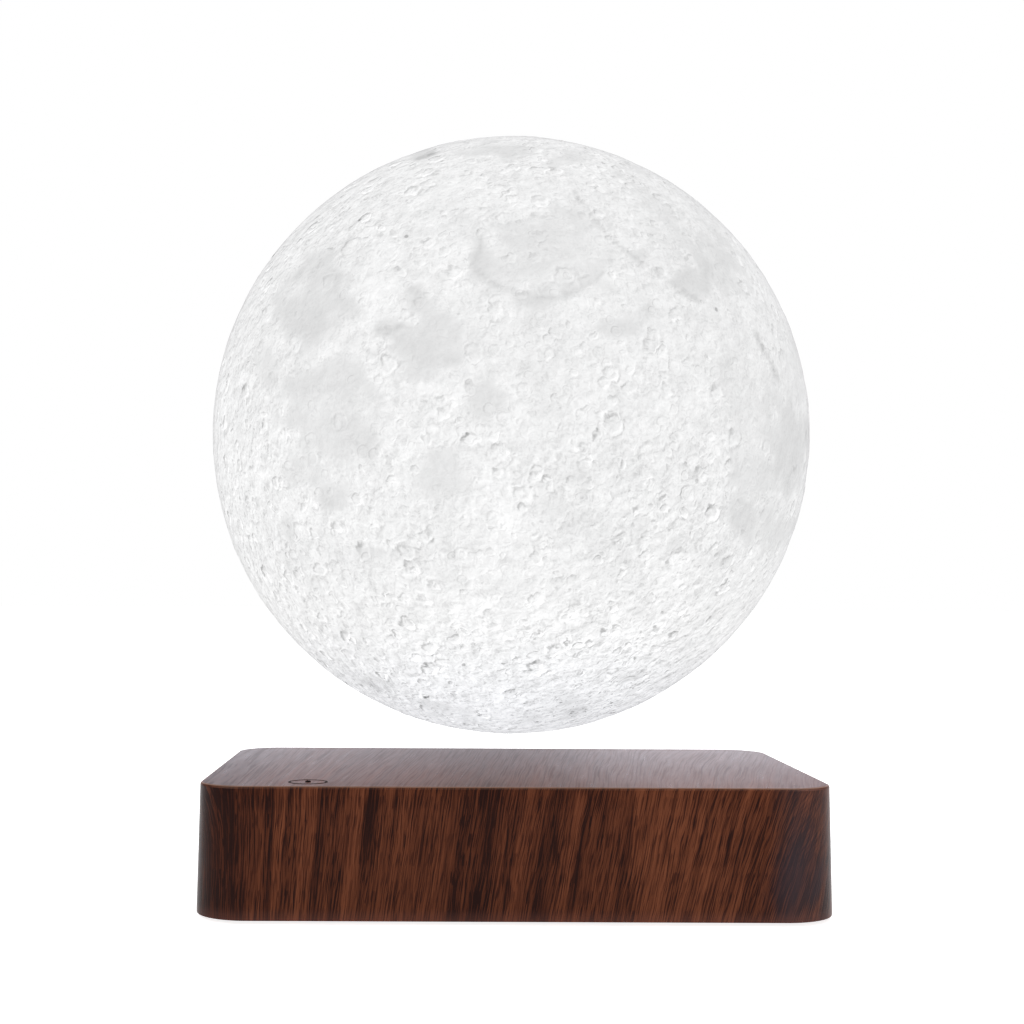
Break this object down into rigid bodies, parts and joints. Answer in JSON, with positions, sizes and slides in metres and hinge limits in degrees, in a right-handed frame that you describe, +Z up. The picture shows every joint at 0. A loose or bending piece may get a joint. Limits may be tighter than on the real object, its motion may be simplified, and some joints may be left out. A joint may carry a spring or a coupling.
{
  "type": "levitating lamp",
  "caption": "Lit lunar globe floating and turning over a low rounded rectangular wood-effect base with a touch mark, magnets, coils and a power socket inside.",
  "frame": {"origin": "middle of the footprint, in the plane of the rubber feet's undersides", "axes": "+Z up through the globe, +X to the right and -Y towards the viewer, on the side with the touch mark"},
  "size_m": [0.18, 0.18, 0.2262],
  "materials": {
    "wood_effect": "satin walnut wood-grain finish on the moulded housing",
    "touch_mark": "dark matt inlay",
    "black_plastic": "fine matt moulding texture",
    "screw_steel": "dark zinc-plated steel",
    "foot_rubber": "matt black rubber",
    "circuit_board": "green solder mask on glass-epoxy",
    "chip_plastic": "black moulded package",
    "capacitor_sleeve": "dark sleeve over an aluminium can",
    "ferrite_grey": "dark grey ferrite",
    "tray_plastic": "dark grey moulding",
    "magnet_nickel": "bright nickel plating on sintered magnet",
    "bobbin_plastic": "natural nylon",
    "coil_copper": "enamelled copper wire, wound in layers",
    "socket_plastic": "black moulded socket",
    "lead_sleeve": "red lead sleeve",
    "spring_steel": "bright spring steel",
    "moon_print": "translucent white print with lunar relief, lit from inside",
    "cap_print": "white plug, same finish as the globe",
    "light_board_white": "white solder mask",
    "led_phosphor": "yellow phosphor under clear resin"
  },
  "bodies": {
    "base": {"base_shell": "wood_effect", "touch_mark_ring": "touch_mark", "touch_mark_dot": "touch_mark", "bottom_plate": "black_plastic", "cover_screw_1": "screw_steel", "cover_screw_2": "screw_steel", "cover_screw_3": "screw_steel", "cover_screw_4": "screw_steel", "rubber_foot_1": "foot_rubber", "rubber_foot_2": "foot_rubber", "rubber_foot_3": "foot_rubber", "rubber_foot_4": "foot_rubber", "main_board": "circuit_board", "board_screw_1": "screw_steel", "board_screw_2": "screw_steel", "dc_jack": "socket_plastic", "dc_jack_pin": "magnet_nickel", "controller_chip": "chip_plastic", "coil_driver_chip_1": "chip_plastic", "coil_driver_chip_2": "chip_plastic", "filter_capacitor_1": "capacitor_sleeve", "filter_capacitor_2": "capacitor_sleeve", "power_inductor": "ferrite_grey", "magnet_tray": "tray_plastic", "base_magnet_1": "magnet_nickel", "base_magnet_2": "magnet_nickel", "base_magnet_3": "magnet_nickel", "base_magnet_4": "magnet_nickel", "base_magnet_5": "magnet_nickel", "base_magnet_6": "magnet_nickel", "base_magnet_7": "magnet_nickel", "base_magnet_8": "magnet_nickel", "coil_bobbin_1": "bobbin_plastic", "coil_bobbin_2": "bobbin_plastic", "coil_bobbin_3": "bobbin_plastic", "coil_bobbin_4": "bobbin_plastic", "coil_winding_1": "coil_copper", "coil_winding_2": "coil_copper", "coil_winding_3": "coil_copper", "coil_winding_4": "coil_copper", "sensor_board": "circuit_board", "hall_sensor_x": "chip_plastic", "hall_sensor_y": "chip_plastic", "hall_sensor_z": "chip_plastic", "transmitter_tray": "tray_plastic", "ferrite_sheet": "ferrite_grey", "transmitter_coil": "coil_copper", "transmitter_lead": "lead_sleeve", "touch_spring": "spring_steel"},
    "floating_magnet": {"float_magnet": "magnet_nickel"},
    "moon": {"moon_globe": "moon_print", "globe_cap": "cap_print", "receiver_coil": "coil_copper", "receiver_lead": "lead_sleeve", "light_board": "light_board_white", "rectifier_chip": "chip_plastic", "led_1": "led_phosphor", "led_2": "led_phosphor", "led_3": "led_phosphor", "led_4": "led_phosphor"}
  },
  "joints": [
    {"name": "lift", "type": "slide", "parent": "base", "child": "floating_magnet", "axis": [0, 0, 1], "range_m": [-0.0092, 0.04], "stiffness_N_per_m": 120, "springref_m": 0.02781},
    {"name": "spin", "type": "hinge", "parent": "floating_magnet", "child": "moon", "pos_m": [0, 0, 0.1362], "axis": [0, 0, 1], "continuous": true}
  ]
}
